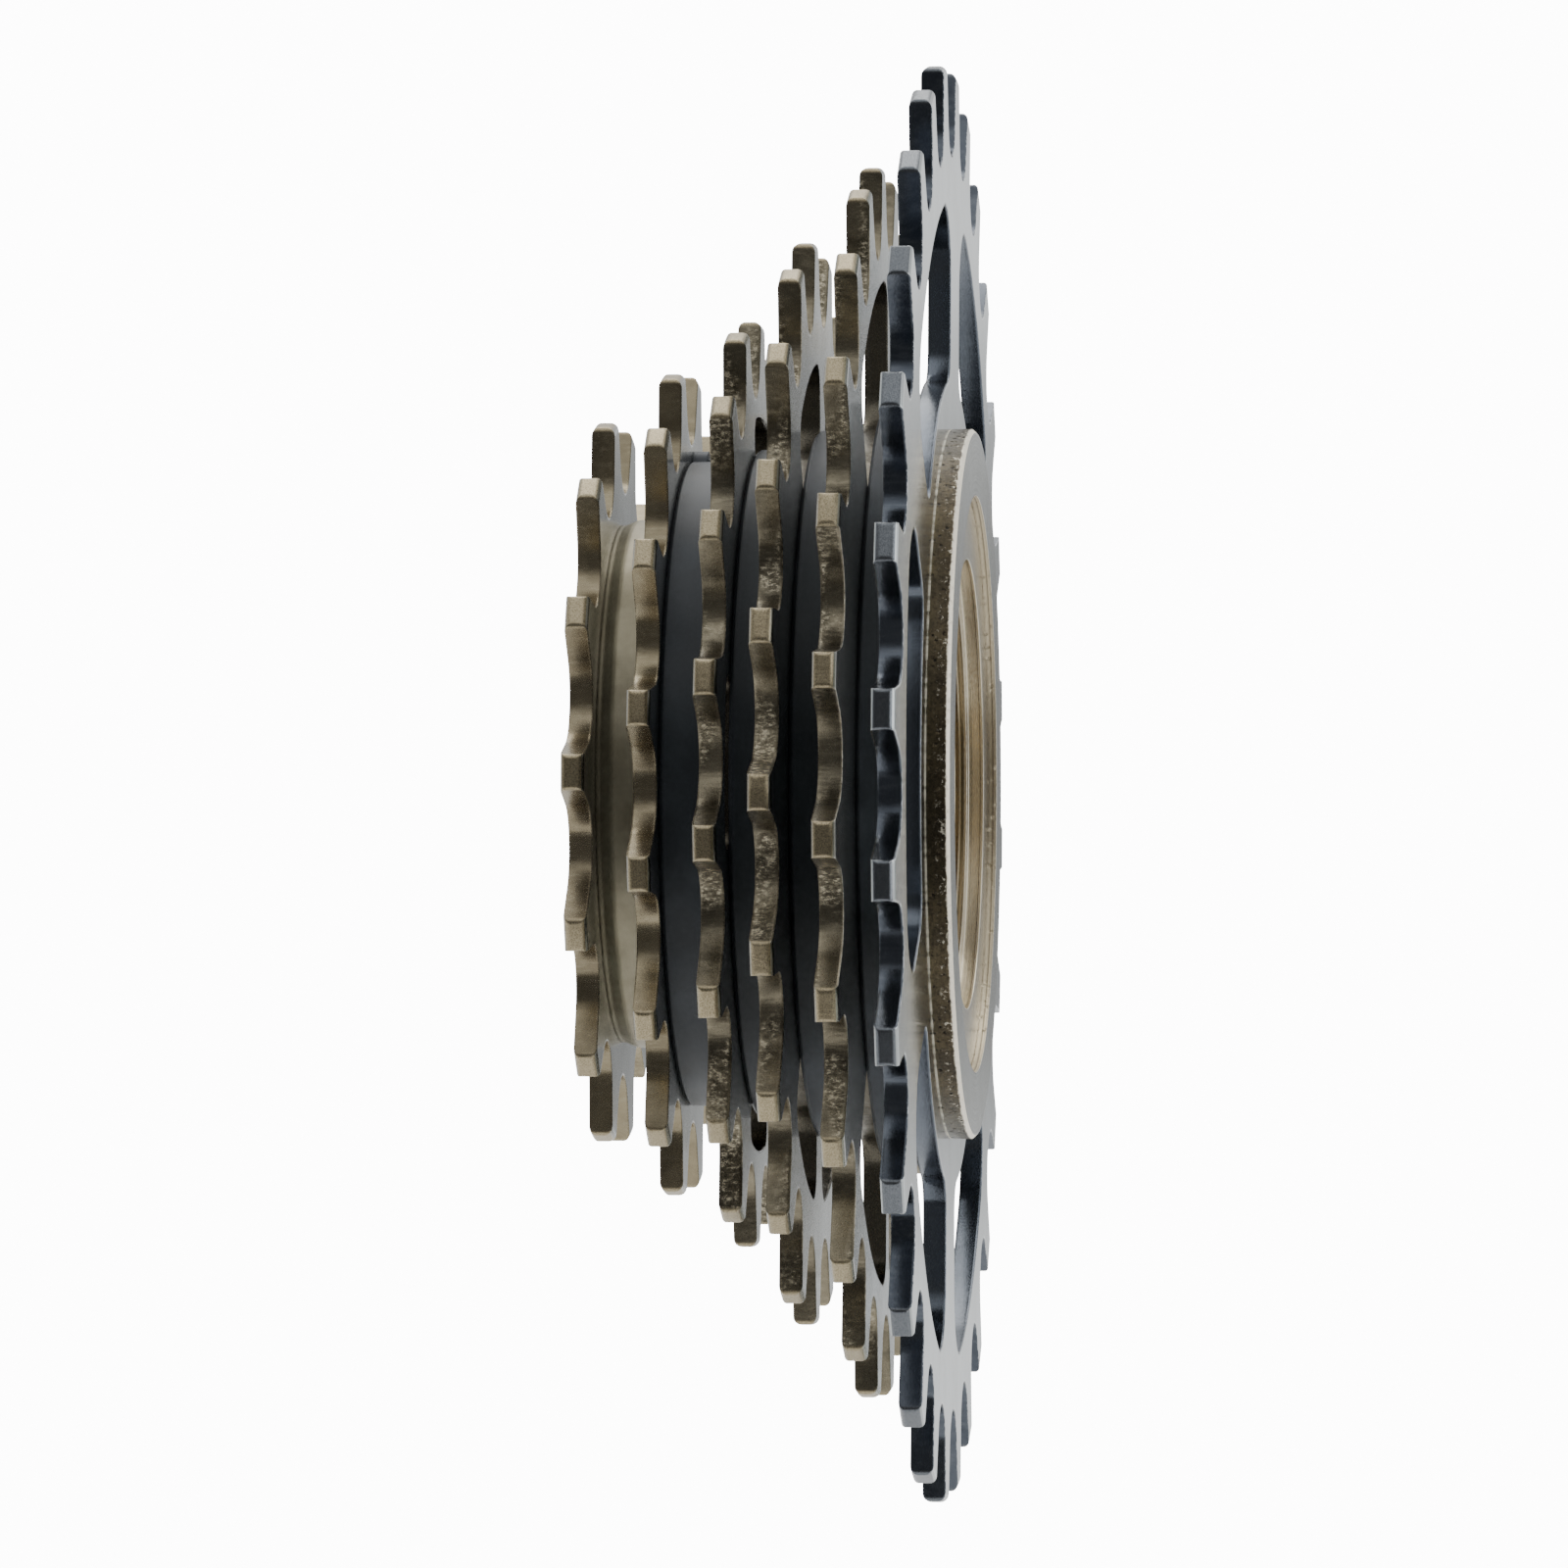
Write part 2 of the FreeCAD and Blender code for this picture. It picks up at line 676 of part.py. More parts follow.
# split ring of spring wire lying in the groove and over both pawl heels
wire_start = ring_point(wire_centre_r, wire_gap_deg / 2.0, pawl_mid_y)
wire_mid = ring_point(wire_centre_r, 180.0, pawl_mid_y)
wire_stop = ring_point(wire_centre_r, -wire_gap_deg / 2.0, pawl_mid_y)
wire_path = Part.Wire([Part.Arc(wire_start, wire_mid, wire_stop).toShape()])
start_a = math.radians(wire_gap_deg / 2.0)
tangent = Vec(-math.sin(start_a), 0, math.cos(start_a))
wire_section = Part.Wire([Part.makeCircle(wire_r, wire_start, tangent)])
pawl_spring_ring = wire_path.makePipeShell([wire_section], True, True)


# ----------------------------------------------------------- lock cone, shims
cone = revolved([
    (nose_thread_r, cone_inner_y),
    (nose_thread_r + 1.1, cone_inner_y),
    (cone_r, outer_ball_y - 1.2 * ball_r),
    (cone_r, shell_end + 0.2),
    (cone_r - 0.2, shell_end),
    (nose_thread_r, shell_end),
])
cone = cone.cut(torus(outer_ball_R, ball_r + race_play, outer_ball_y))
cone_hole_R = (nose_thread_r + cone_r) / 2.0
cone_holes = []
for angle in (0.0, 180.0):
    mouth = ring_point(cone_hole_R, angle, shell_end - 0.5)
    cone_holes.append(Part.makeCylinder(cone_hole_r, cone_hole_depth + 0.5, mouth, Vec(0, 1, 0)))
lock_cone = solid_of(cone.cut(cone_holes))

shim_r = nose_thread_r + 1.15
shim_hole_r = nose_thread_r + 0.05
shim_join = cone_inner_y + shim_thin_t
shim_thin = drum(shim_r, cone_inner_y, shim_join).cut(drum(shim_hole_r, cone_inner_y - 1, shim_join + 1))
shim_thick = drum(shim_r, shim_join, nose_step_y).cut(drum(shim_hole_r, shim_join - 1, nose_step_y + 1))

seal_outer_r = cup_bore_r + seal_w
seal_inner_r = cone_r + seal_play
outer_seal = drum(seal_outer_r, shell_end, shell_end + seal_t)
outer_seal = outer_seal.cut(drum(seal_inner_r, shell_end - 1, shell_end + seal_t + 1))


# ---------------------------------------------------------------------- balls
def ball_row(ring_radius, y, count):
    balls = []
    for k in range(count):
        centre = ring_point(ring_radius, 360.0 * k / count, y)
        balls.append(Part.makeSphere(ball_r, centre))
    return Part.makeCompound(balls)


hub_side_balls = ball_row(hub_ball_R, hub_ball_y, hub_ball_count)
outer_balls = ball_row(outer_ball_R, outer_ball_y, outer_ball_count)

# --------------------------------------------------------------------- export
os.makedirs("parts", exist_ok=True)
inner_body.exportStep("parts/inner_body.step")
lock_cone.exportStep("parts/lock_cone.step")
shim_thick.exportStep("parts/shim_thick.step")
shim_thin.exportStep("parts/shim_thin.step")
pawl_spring_ring.exportStep("parts/pawl_spring_ring.step")
outer_body.exportStep("parts/outer_body.step")
outer_seal.exportStep("parts/outer_seal.step")
sprocket_1.exportStep("parts/sprocket_14t.step")
sprocket_2.exportStep("parts/sprocket_16t.step")
sprocket_3.exportStep("parts/sprocket_18t.step")
sprocket_4.exportStep("parts/sprocket_21t.step")
sprocket_5.exportStep("parts/sprocket_24t.step")
sprocket_6.exportStep("parts/sprocket_28t.step")
spacer_16_18.exportStep("parts/spacer_16_18.step")
spacer_18_21.exportStep("parts/spacer_18_21.step")
spacer_21_24.exportStep("parts/spacer_21_24.step")
spacer_24_28.exportStep("parts/spacer_24_28.step")
pawl_a.exportStep("parts/pawl_a.step")
pawl_b.exportStep("parts/pawl_b.step")
hub_side_balls.exportStep("parts/hub_side_balls.step")
outer_balls.exportStep("parts/outer_balls.step")
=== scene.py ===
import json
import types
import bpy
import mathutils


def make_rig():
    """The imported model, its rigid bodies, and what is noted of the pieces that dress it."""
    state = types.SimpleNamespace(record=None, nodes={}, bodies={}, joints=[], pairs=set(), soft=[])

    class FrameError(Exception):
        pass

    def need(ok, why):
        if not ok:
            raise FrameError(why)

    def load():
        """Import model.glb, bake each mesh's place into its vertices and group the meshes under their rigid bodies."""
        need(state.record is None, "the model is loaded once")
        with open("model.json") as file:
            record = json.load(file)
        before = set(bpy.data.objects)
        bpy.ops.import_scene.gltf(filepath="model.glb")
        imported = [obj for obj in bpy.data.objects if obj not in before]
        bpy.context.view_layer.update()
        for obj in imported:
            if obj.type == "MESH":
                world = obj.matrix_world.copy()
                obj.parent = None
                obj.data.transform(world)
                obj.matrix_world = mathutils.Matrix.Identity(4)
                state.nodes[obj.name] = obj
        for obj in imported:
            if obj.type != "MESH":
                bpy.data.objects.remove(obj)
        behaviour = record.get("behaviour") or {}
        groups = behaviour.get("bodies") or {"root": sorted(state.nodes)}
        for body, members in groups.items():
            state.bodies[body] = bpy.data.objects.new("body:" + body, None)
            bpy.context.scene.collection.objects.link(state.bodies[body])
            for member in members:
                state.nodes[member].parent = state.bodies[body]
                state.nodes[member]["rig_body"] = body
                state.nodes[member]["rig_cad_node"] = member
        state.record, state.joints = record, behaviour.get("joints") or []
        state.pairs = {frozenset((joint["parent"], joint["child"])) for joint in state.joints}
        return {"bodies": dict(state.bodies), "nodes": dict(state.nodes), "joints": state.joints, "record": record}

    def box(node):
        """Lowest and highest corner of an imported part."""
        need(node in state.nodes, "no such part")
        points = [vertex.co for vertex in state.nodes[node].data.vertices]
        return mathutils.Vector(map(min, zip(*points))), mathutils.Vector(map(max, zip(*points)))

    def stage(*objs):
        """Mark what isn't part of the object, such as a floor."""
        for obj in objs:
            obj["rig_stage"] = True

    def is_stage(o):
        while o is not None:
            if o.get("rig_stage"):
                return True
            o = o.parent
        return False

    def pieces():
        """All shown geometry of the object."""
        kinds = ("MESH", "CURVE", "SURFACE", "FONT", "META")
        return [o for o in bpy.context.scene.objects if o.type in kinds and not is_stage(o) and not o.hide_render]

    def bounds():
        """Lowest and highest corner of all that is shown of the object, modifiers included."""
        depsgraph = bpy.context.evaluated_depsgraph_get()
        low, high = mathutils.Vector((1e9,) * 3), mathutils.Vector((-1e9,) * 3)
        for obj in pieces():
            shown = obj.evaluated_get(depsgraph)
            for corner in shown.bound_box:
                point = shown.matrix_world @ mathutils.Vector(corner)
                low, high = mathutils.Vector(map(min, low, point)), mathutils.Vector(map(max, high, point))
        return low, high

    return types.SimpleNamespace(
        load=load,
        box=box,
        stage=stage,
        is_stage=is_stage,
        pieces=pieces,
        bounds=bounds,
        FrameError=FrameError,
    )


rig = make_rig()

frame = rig.load()

import json
import math

import bpy
from mathutils import Vector


def note_size(key):
    path = "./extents.json"
    data = {}
    if key != "loaded":
        with open(path) as handle:
            data = json.load(handle)
    data[key] = [[round(float(v), 6) for v in corner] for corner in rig.bounds()]
    with open(path, "w") as handle:
        json.dump(data, handle)


note_size("loaded")

# ------------------------------------------------------------ sizes in mm of the part
HALF_PITCH = 6.35      # half the chain pitch
ROLLER_REACH = 3.96    # how far a tooth root lies inside the pitch circle
PLATE = 1.95           # thickness of every sprocket plate
MM = 1000.0            # the frame is in metres

# number of teeth, and how far the tips stand out from the pitch circle
TEETH = {"14t": (14, 2.2), "16t": (16, 2.4), "18t": (18, 2.5),
         "21t": (21, 3.0), "24t": (24, 3.25), "28t": (28, 3.7)}


# ------------------------------------------------------------------ node tools


def srgb(r, g, b):
    out = []
    for c in (r, g, b):
        c = c / 255.0
        out.append(c / 12.92 if c <= 0.04045 else ((c + 0.055) / 1.055) ** 2.4)
    return (out[0], out[1], out[2], 1.0)


class Graph:
    """Short ways to write shader nodes; sizes are in mm of the part's own frame."""

    def __init__(self, name):
        self.mat = bpy.data.materials.new(name)
        self.mat.use_nodes = True
        self.tree = self.mat.node_tree
        self.tree.nodes.clear()
        self.out = self.tree.nodes.new("ShaderNodeOutputMaterial")
        self.bsdf = self.tree.nodes.new("ShaderNodeBsdfPrincipled")
        self.link(self.bsdf.outputs[0], self.out.inputs[0])
        coord = self.tree.nodes.new("ShaderNodeTexCoord")
        mm = self.tree.nodes.new("ShaderNodeVectorMath")
        mm.operation = "SCALE"
        mm.inputs["Scale"].default_value = MM
        self.link(coord.outputs["Object"], mm.inputs[0])
        self.pos = mm.outputs[0]
        self.nor = coord.outputs["Normal"]
        self.x, self.y, self.z = self.split(self.pos)
        self.ny = self.split(self.nor)[1]
        self.radius = self.math("SQRT", self.math("ADD", self.math("MULTIPLY", self.x, self.x),
                                                  self.math("MULTIPLY", self.z, self.z)))
        self.angle = self.math("ARCTAN2", self.z, self.x)

    def link(self, a, b):
        self.tree.links.new(a, b)

    def put(self, socket, value):
        if hasattr(value, "links"):
            self.link(value, socket)
        else:
            socket.default_value = value

    def split(self, vector):
        node = self.tree.nodes.new("ShaderNodeSeparateXYZ")
        self.link(vector, node.inputs[0])
        return node.outputs[0], node.outputs[1], node.outputs[2]

    def join(self, x, y, z):
        node = self.tree.nodes.new("ShaderNodeCombineXYZ")
        self.put(node.inputs[0], x)
        self.put(node.inputs[1], y)
        self.put(node.inputs[2], z)
        return node.outputs[0]

    def math(self, op, a, b=None, clamp=False):
        node = self.tree.nodes.new("ShaderNodeMath")
        node.operation = op
        node.use_clamp = clamp
        self.put(node.inputs[0], a)
        if b is not None:
            self.put(node.inputs[1], b)
        return node.outputs[0]

    def step(self, value, low, high):
        """0 below low, 1 above high, smooth between."""
        node = self.tree.nodes.new("ShaderNodeMapRange")
        node.interpolation_type = "SMOOTHSTEP"
        node.clamp = True
        self.put(node.inputs["Value"], value)
        node.inputs["From Min"].default_value = low
        node.inputs["From Max"].default_value = high
        return node.outputs["Result"]

    def band(self, value, a, b, soft):
        up = self.step(value, a - soft, a + soft)
        down = self.step(value, b - soft, b + soft)
        return self.math("SUBTRACT", up, down, True)

    def mix(self, factor, a, b):
        node = self.tree.nodes.new("ShaderNodeMix")
        node.data_type = "RGBA"
        self.put(node.inputs[0], factor)
        self.put(node.inputs[6], a)
        self.put(node.inputs[7], b)
        return node.outputs[2]

    def lerp(self, factor, a, b):
        node = self.tree.nodes.new("ShaderNodeMix")
        node.data_type = "FLOAT"
        self.put(node.inputs[0], factor)
        self.put(node.inputs[2], a)
        self.put(node.inputs[3], b)
        return node.outputs[0]

    def noise(self, scale, detail=3.0, rough=0.55, vector=None):
        node = self.tree.nodes.new("ShaderNodeTexNoise")
        node.inputs["Scale"].default_value = scale
        node.inputs["Detail"].default_value = detail
        node.inputs["Roughness"].default_value = rough
        self.link(vector or self.pos, node.inputs["Vector"])
        return node.outputs["Fac"]

    def cells(self, scale):
        node = self.tree.nodes.new("ShaderNodeTexVoronoi")
        node.inputs["Scale"].default_value = scale
        self.link(self.pos, node.inputs["Vector"])
        return node.outputs["Distance"]

    def edge(self, reach, low=0.02, high=0.16):
        """1 on outer corners of the solid, 0 on flat walls; reach is in mm."""
        bevel = self.tree.nodes.new("ShaderNodeBevel")
        bevel.samples = 6
        bevel.inputs["Radius"].default_value = reach / MM
        geo = self.tree.nodes.new("ShaderNodeNewGeometry")
        dot = self.tree.nodes.new("ShaderNodeVectorMath")
        dot.operation = "DOT_PRODUCT"
        self.link(bevel.outputs[0], dot.inputs[0])
        self.link(geo.outputs["Normal"], dot.inputs[1])
        return self.step(self.math("SUBTRACT", 1.0, dot.outputs["Value"]), low, high)

    def bump(self, height, strength, distance, soft=0.0):
        """Bump of the given distance in mm; soft rounds the corners by that many mm."""
        node = self.tree.nodes.new("ShaderNodeBump")
        if soft:
            bevel = self.tree.nodes.new("ShaderNodeBevel")
            bevel.samples = 6
            bevel.inputs["Radius"].default_value = soft / MM
            self.link(bevel.outputs[0], node.inputs["Normal"])
        node.inputs["Strength"].default_value = strength
        node.inputs["Distance"].default_value = distance / MM
        self.put(node.inputs["Height"], height)
        self.link(node.outputs[0], self.bsdf.inputs["Normal"])

    def finish(self, color, rough, metal=1.0):
        self.put(self.bsdf.inputs["Base Color"], color)
        self.put(self.bsdf.inputs["Roughness"], rough)
        self.put(self.bsdf.inputs["Metallic"], metal)
        return self.mat


# ------------------------------------------------------------------- sprockets
def sprocket_material(name, teeth, crown, low_y, looks):
    """Plate steel: glossy flat faces, duller tooth walls, worn lands, and chipped rims carrying a painted edge
    highlight.
    """
    g = Graph(name)
    pitch = HALF_PITCH / math.sin(math.pi / teeth)
    tip = pitch + crown
    root = pitch - ROLLER_REACH
    flat = g.step(g.math("ABSOLUTE", g.ny), 0.72, 0.93)
    land = g.step(g.radius, tip - 0.42, tip - 0.18)
    # painted shade: 'inside' is 1 below the tooth roots, where the walls of the windows and the bore take the looks'
    # inside tone
    inside = g.math("SUBTRACT", 1.0, g.step(g.radius, root - 0.35, root - 0.1))
    depth = g.math("SUBTRACT", g.y, low_y)

    # broad tone changes, fine grain and the torn metal left by the punch
    cloud = g.noise(0.16, 4.0, 0.6)
    grain = g.noise(3.2, 5.0, 0.65)
    fine = g.noise(9.0, 3.0, 0.6)
    around = g.math("MULTIPLY", g.angle, tip)
    streak = g.noise(1.0, 3.0, 0.6, vector=g.join(
        g.math("MULTIPLY", around, 2.6), g.math("MULTIPLY", g.y, 0.5), g.radius))
    chunk = g.noise(1.0, 5.0, 0.74, vector=g.join(
        g.math("MULTIPLY", around, 2.6), g.math("MULTIPLY", g.y, 1.6), g.math("MULTIPLY", g.radius, 2.6)))
    patch = g.noise(1.0, 1.0, 0.5, vector=g.join(
        g.math("MULTIPLY", around, 0.16), g.math("MULTIPLY", g.y, 0.25), looks["seed"]))
    zone = g.math("MULTIPLY", g.step(patch, looks["patch"][0], looks["patch"][1]),
                  g.band(depth, 0.10, looks["torn_depth"], 0.12))
    zone = g.math("MULTIPLY", zone, looks["torn_amount"])
    torn = g.math("MULTIPLY", zone, g.step(chunk, 0.50, 0.62))
    scar = g.math("MULTIPLY", zone, g.math("SUBTRACT", 1.0, g.step(chunk, 0.40, 0.47)))

    wall = g.mix(g.step(cloud, 0.35, 0.68), looks["wall_dark"], looks["wall"])
    wall = g.mix(g.math("MULTIPLY", g.step(streak, 0.45, 0.75), 0.35), wall, looks["wall_light"])
    wall = g.mix(torn, wall, looks["torn_color"])
    wall = g.mix(g.math("MULTIPLY", scar, 0.6), wall, looks["scar_color"])
    top = g.mix(g.step(fine, 0.35, 0.7), looks["land"], looks["land_dark"])
    wall = g.mix(land, wall, top)
    # painted shade inside the windows and the bore
    wall = g.mix(g.math("MULTIPLY", inside, 0.8), wall, looks["inside"])

    face = g.mix(g.step(cloud, 0.3, 0.75), looks["face"], looks["face_dark"])
    smear = g.noise(0.55, 3.0, 0.6, vector=g.join(g.x, g.math("MULTIPLY", g.y, 0.2), g.z))
    face = g.mix(g.math("MULTIPLY", g.step(smear, 0.5, 0.8), 0.35), face, looks["face_dark"])
    if "collar_r" in looks:
        band = g.math("SUBTRACT", 1.0, g.step(g.radius, looks["collar_r"], looks["collar_r"] + 0.15))
        tone = g.mix(g.step(g.noise(0.22, 3.0, 0.6), 0.3, 0.7), srgb(168, 160, 138), srgb(146, 138, 116))
        wall = g.mix(band, wall, tone)
    color = g.mix(flat, wall, face)

    # painted highlight: a bright line along the plate edges, strong on the hub side, broken up by noise, weaker inside
    # the windows and the bore, and made less metallic so it stays bright
    rim = g.edge(looks["edge_reach"])
    highlight_breakup = g.step(g.noise(1.7, 4.0, 0.7), looks["highlight_breakup"][0], looks["highlight_breakup"][1])
    hub_side_highlight = g.lerp(g.step(depth, 1.1, 1.6), 0.12, 1.0)
    rim = g.math("MULTIPLY", rim, hub_side_highlight)
    rim = g.math("MULTIPLY", rim, g.math("MULTIPLY", highlight_breakup, looks["edge_amount"]))
    rim = g.math("MULTIPLY", rim, g.lerp(inside, 1.0, 0.35))
    color = g.mix(rim, color, looks["edge"])

    rough = g.lerp(flat, g.lerp(land, looks["wall_rough"], looks["land_rough"]), looks["face_rough"])
    rough = g.math("ADD", rough, g.math("MULTIPLY", g.math("SUBTRACT", fine, 0.5), 0.18), True)
    rough = g.lerp(torn, rough, 0.45)
    metal = g.lerp(flat, looks["wall_metal"], 1.0)
    metal = g.lerp(g.math("MAXIMUM", rim, g.math("MULTIPLY", torn, 0.7)), metal, 0.45)

    if "collar_r" in looks:
        rough = g.lerp(band, rough, 0.42)
        metal = g.lerp(band, metal, 0.78)
    wall_marks = g.math("ADD", g.math("MULTIPLY", grain, 0.25), g.math("MULTIPLY", streak, 0.35))
    wall_marks = g.math("ADD", wall_marks, g.math("MULTIPLY", g.math("MULTIPLY", chunk, zone), 2.2))
    dents = g.math("MULTIPLY", g.math("SUBTRACT", 1.0, flat), wall_marks)
    marks = g.math("ADD", dents, g.math("MULTIPLY", fine, 0.08))
    g.bump(marks, looks["bump"], 0.09, looks["soft"])
    return g.finish(color, rough, metal)


BRONZE = {
    "wall": srgb(142, 133, 113), "wall_dark": srgb(100, 94, 80), "wall_light": srgb(176, 166, 142),
    "torn_depth": 1.75, "torn_amount": 0.9, "torn_color": srgb(236, 224, 196), "scar_color": srgb(62, 57, 46),
    # inside: painted shade for the walls in the windows and the bore, darker than the bronze walls
    "patch": (0.50, 0.62), "seed": 3.0, "inside": srgb(112, 107, 96),
    "land": srgb(182, 169, 140), "land_dark": srgb(140, 128, 102),
    "face": srgb(172, 173, 168), "face_dark": srgb(136, 135, 126),
    # edge, edge_reach, edge_amount and the breakup range set the painted highlight on the plate edges
    "edge": srgb(236, 228, 208), "edge_reach": 0.12, "edge_amount": 0.7, "highlight_breakup": (0.42, 0.60),
    "wall_rough": 0.29, "land_rough": 0.32, "face_rough": 0.18, "wall_metal": 0.95, "bump": 0.6, "soft": 0.28,
}
DARK = dict(BRONZE)
DARK.update({
    "wall": srgb(94, 99, 107), "wall_dark": srgb(74, 79, 87), "wall_light": srgb(122, 126, 132),
    "torn_amount": 0.12, "torn_color": srgb(130, 132, 136), "scar_color": srgb(30, 32, 36), "seed": 7.0,
    "inside": srgb(112, 118, 127), "land": srgb(120, 123, 127), "land_dark": srgb(92, 96, 101),
    "face": srgb(212, 217, 216), "face_dark": srgb(190, 195, 193),
    # painted edge highlight: whiter, wider and at full strength on the dark plate
    "edge": srgb(246, 247, 248), "edge_reach": 0.16, "edge_amount": 1.0, "highlight_breakup": (0.46, 0.58),
    "wall_rough": 0.15, "land_rough": 0.18, "face_rough": 0.12, "wall_metal": 0.95,
    "bump": 0.22, "soft": 0.30,
})
PLAIN = dict(BRONZE)
PLAIN.update({
    "wall": srgb(160, 148, 122), "wall_dark": srgb(128, 118, 97), "wall_rough": 0.25,
    "face": srgb(170, 172, 168), "torn_amount": 0.12, "bump": 0.2, "highlight_breakup": (0.40, 0.62),
    "edge_amount": 0.5, "seed": 5.0,
})


# ---------------------------------------------------------------- other pieces
def spacer_material(name):
    """Black plastic with a little pale dust."""
    g = Graph(name)
    cloud = g.noise(0.25, 3.0, 0.5)
    dust = g.step(g.noise(1.6, 6.0, 0.7), 0.66, 0.80)
    color = g.mix(g.step(cloud, 0.35, 0.7), srgb(56, 60, 66), srgb(70, 75, 82))
    color = g.mix(g.math("MULTIPLY", dust, 0.12), color, srgb(70, 74, 78))
    rough = g.math("ADD", 0.34, g.math("MULTIPLY", cloud, 0.16))
    rough = g.lerp(g.math("MULTIPLY", dust, 0.5), rough, 0.6)
    g.bsdf.inputs["Specular IOR Level"].default_value = 0.42
    g.bump(cloud, 0.12, 0.10, 0.2)
    return g.finish(color, rough, 0.0)


def turned_material(name, looks, rim_r, hub_y):
    """Turned steel body: hub face, pitted rim, a painted highlight on the rim edges, and bright hollows."""
    g = Graph(name)
    cloud = g.noise(0.28, 4.0, 0.6)
    grain = g.noise(2.8, 5.0, 0.7)
    rings = g.noise(1.0, 3.0, 0.7, vector=g.join(
        g.math("MULTIPLY", g.y, 5.0), g.math("MULTIPLY", g.radius, 5.0), 0.0))
    facing = g.step(g.math("ABSOLUTE", g.ny), 0.90, 0.98)
    pits = g.math("SUBTRACT", 1.0, g.step(g.cells(1.3), 0.12, 0.36))
    pits = g.math("MULTIPLY", pits, g.step(grain, 0.40, 0.58))
    pits = g.math("MULTIPLY", g.math("MULTIPLY", pits, looks["pits"]), g.math("SUBTRACT", 1.0, facing))
    wall = g.mix(g.step(cloud, 0.3, 0.7), looks["wall"], looks["wall_light"])
    specks = g.math("MULTIPLY", g.step(grain, 0.45, 0.62), 0.45 * looks["pits"])
    wall = g.mix(specks, wall, looks["wall_dark"])
    wall = g.mix(g.math("MULTIPLY", g.step(rings, 0.42, 0.66), looks["rings"]), wall, looks["wall_dark"])
    wall = g.mix(pits, wall, looks["wall_dark"])
    hollow = g.math("SUBTRACT", 1.0, g.step(g.radius, looks["hollow_r"], looks["hollow_r"] + 0.2))
    lines = g.step(rings, 0.45, 0.62)
    cream = g.mix(g.math("MULTIPLY", lines, 0.85), looks["cream"], looks["cream_dark"])
    wall = g.mix(hollow, wall, cream)
    face = g.mix(g.step(cloud, 0.3, 0.75), looks["face"], looks["face_dark"])
    face = g.mix(g.math("MULTIPLY", g.step(rings, 0.45, 0.7), 0.18), face, looks["face_dark"])
    color = g.mix(facing, wall, face)

    # painted highlight: a bright ragged line at the hub-face edge of the rim, a thin one at the other edge of the rim,
    # faint lines on other edges, and bright glint specks near the hub face
    ragged = g.math("MULTIPLY", g.math("SUBTRACT", g.noise(1.5, 4.0, 0.7), 0.5), 0.55)
    corner = g.step(g.math("ADD", g.y, ragged), hub_y - 0.42, hub_y - 0.24)
    corner = g.math("MULTIPLY", corner, g.step(g.radius, rim_r - 0.34, rim_r - 0.28))
    thin = g.math("MULTIPLY", g.edge(0.14), g.step(g.noise(1.1, 3.0, 0.6), 0.22, 0.45))
    back_highlight_line = g.band(g.y, looks["back_y"] - 0.05, looks["back_y"] + 0.09, 0.03)
    back_highlight_line = g.math("MULTIPLY", back_highlight_line, g.step(g.radius, rim_r - 0.2, rim_r - 0.1))
    back_highlight_line = g.math("MULTIPLY", back_highlight_line, g.step(g.noise(0.9, 3.0, 0.6), 0.36, 0.56))
    thin = g.math("MAXIMUM", thin, back_highlight_line)
    glint_specks = g.math("MULTIPLY", g.step(g.noise(1.9, 5.0, 0.75), 0.57, 0.64),
                   g.step(g.y, hub_y - 1.5, hub_y - 0.5))
    glint_specks = g.math("MULTIPLY", g.math("MULTIPLY", glint_specks, looks["corner"]),
                   g.step(g.radius, rim_r - 0.34, rim_r - 0.28))
    thin = g.math("MAXIMUM", thin, glint_specks)
    rim = g.math("MAXIMUM", g.math("MULTIPLY", corner, looks["corner"]), g.math("MULTIPLY", thin, 0.75))
    color = g.mix(rim, color, looks["edge"])
    rough = g.lerp(facing, looks["wall_rough"], looks["face_rough"])
    rough = g.math("ADD", rough, g.math("MULTIPLY", g.math("SUBTRACT", grain, 0.5), 0.20), True)
    rough = g.lerp(pits, rough, 0.7)
    metal = g.lerp(rim, g.lerp(hollow, 0.95, looks["hollow_metal"]), 0.25)
    height = g.math("SUBTRACT", g.math("MULTIPLY", rings, 0.3), g.math("MULTIPLY", pits, 1.4))
    coarse = g.math("MULTIPLY", grain, g.math("SUBTRACT", 1.0, facing))
    height = g.math("ADD", height, g.math("MULTIPLY", coarse, 0.9 * looks["pits"]))
    g.bump(height, 0.5, 0.09, 0.15)
    return g.finish(color, rough, metal)


# edge is the colour of the painted highlight on the rim edges; corner sets how strong it is at the hub-face edge
SHELL = {
    "wall": srgb(74, 67, 54), "wall_light": srgb(98, 88, 68), "wall_dark": srgb(38, 34, 28),
    "face": srgb(174, 175, 168), "face_dark": srgb(156, 155, 146), "edge": srgb(255, 245, 224),
    "pits": 1.0, "rings": 0.15, "wall_rough": 0.34, "face_rough": 0.16, "corner": 1.0,
    "hollow_r": 24.5, "cream": srgb(218, 205, 178), "cream_dark": srgb(130, 117, 95),
    "hollow_metal": 0.95, "back_y": -1.25,
}
CORE = dict(SHELL)
CORE.update({
    "wall": srgb(198, 184, 154), "wall_light": srgb(222, 210, 184), "wall_dark": srgb(104, 90, 68),
    "face": srgb(170, 167, 157), "face_dark": srgb(148, 143, 129), "pits": 0.0, "rings": 0.5,
    "wall_rough": 0.22, "face_rough": 0.18, "corner": 0.0, "hollow_r": 19.3, "back_y": -100.0,
    "cream": srgb(226, 214, 188), "cream_dark": srgb(130, 117, 94),
})


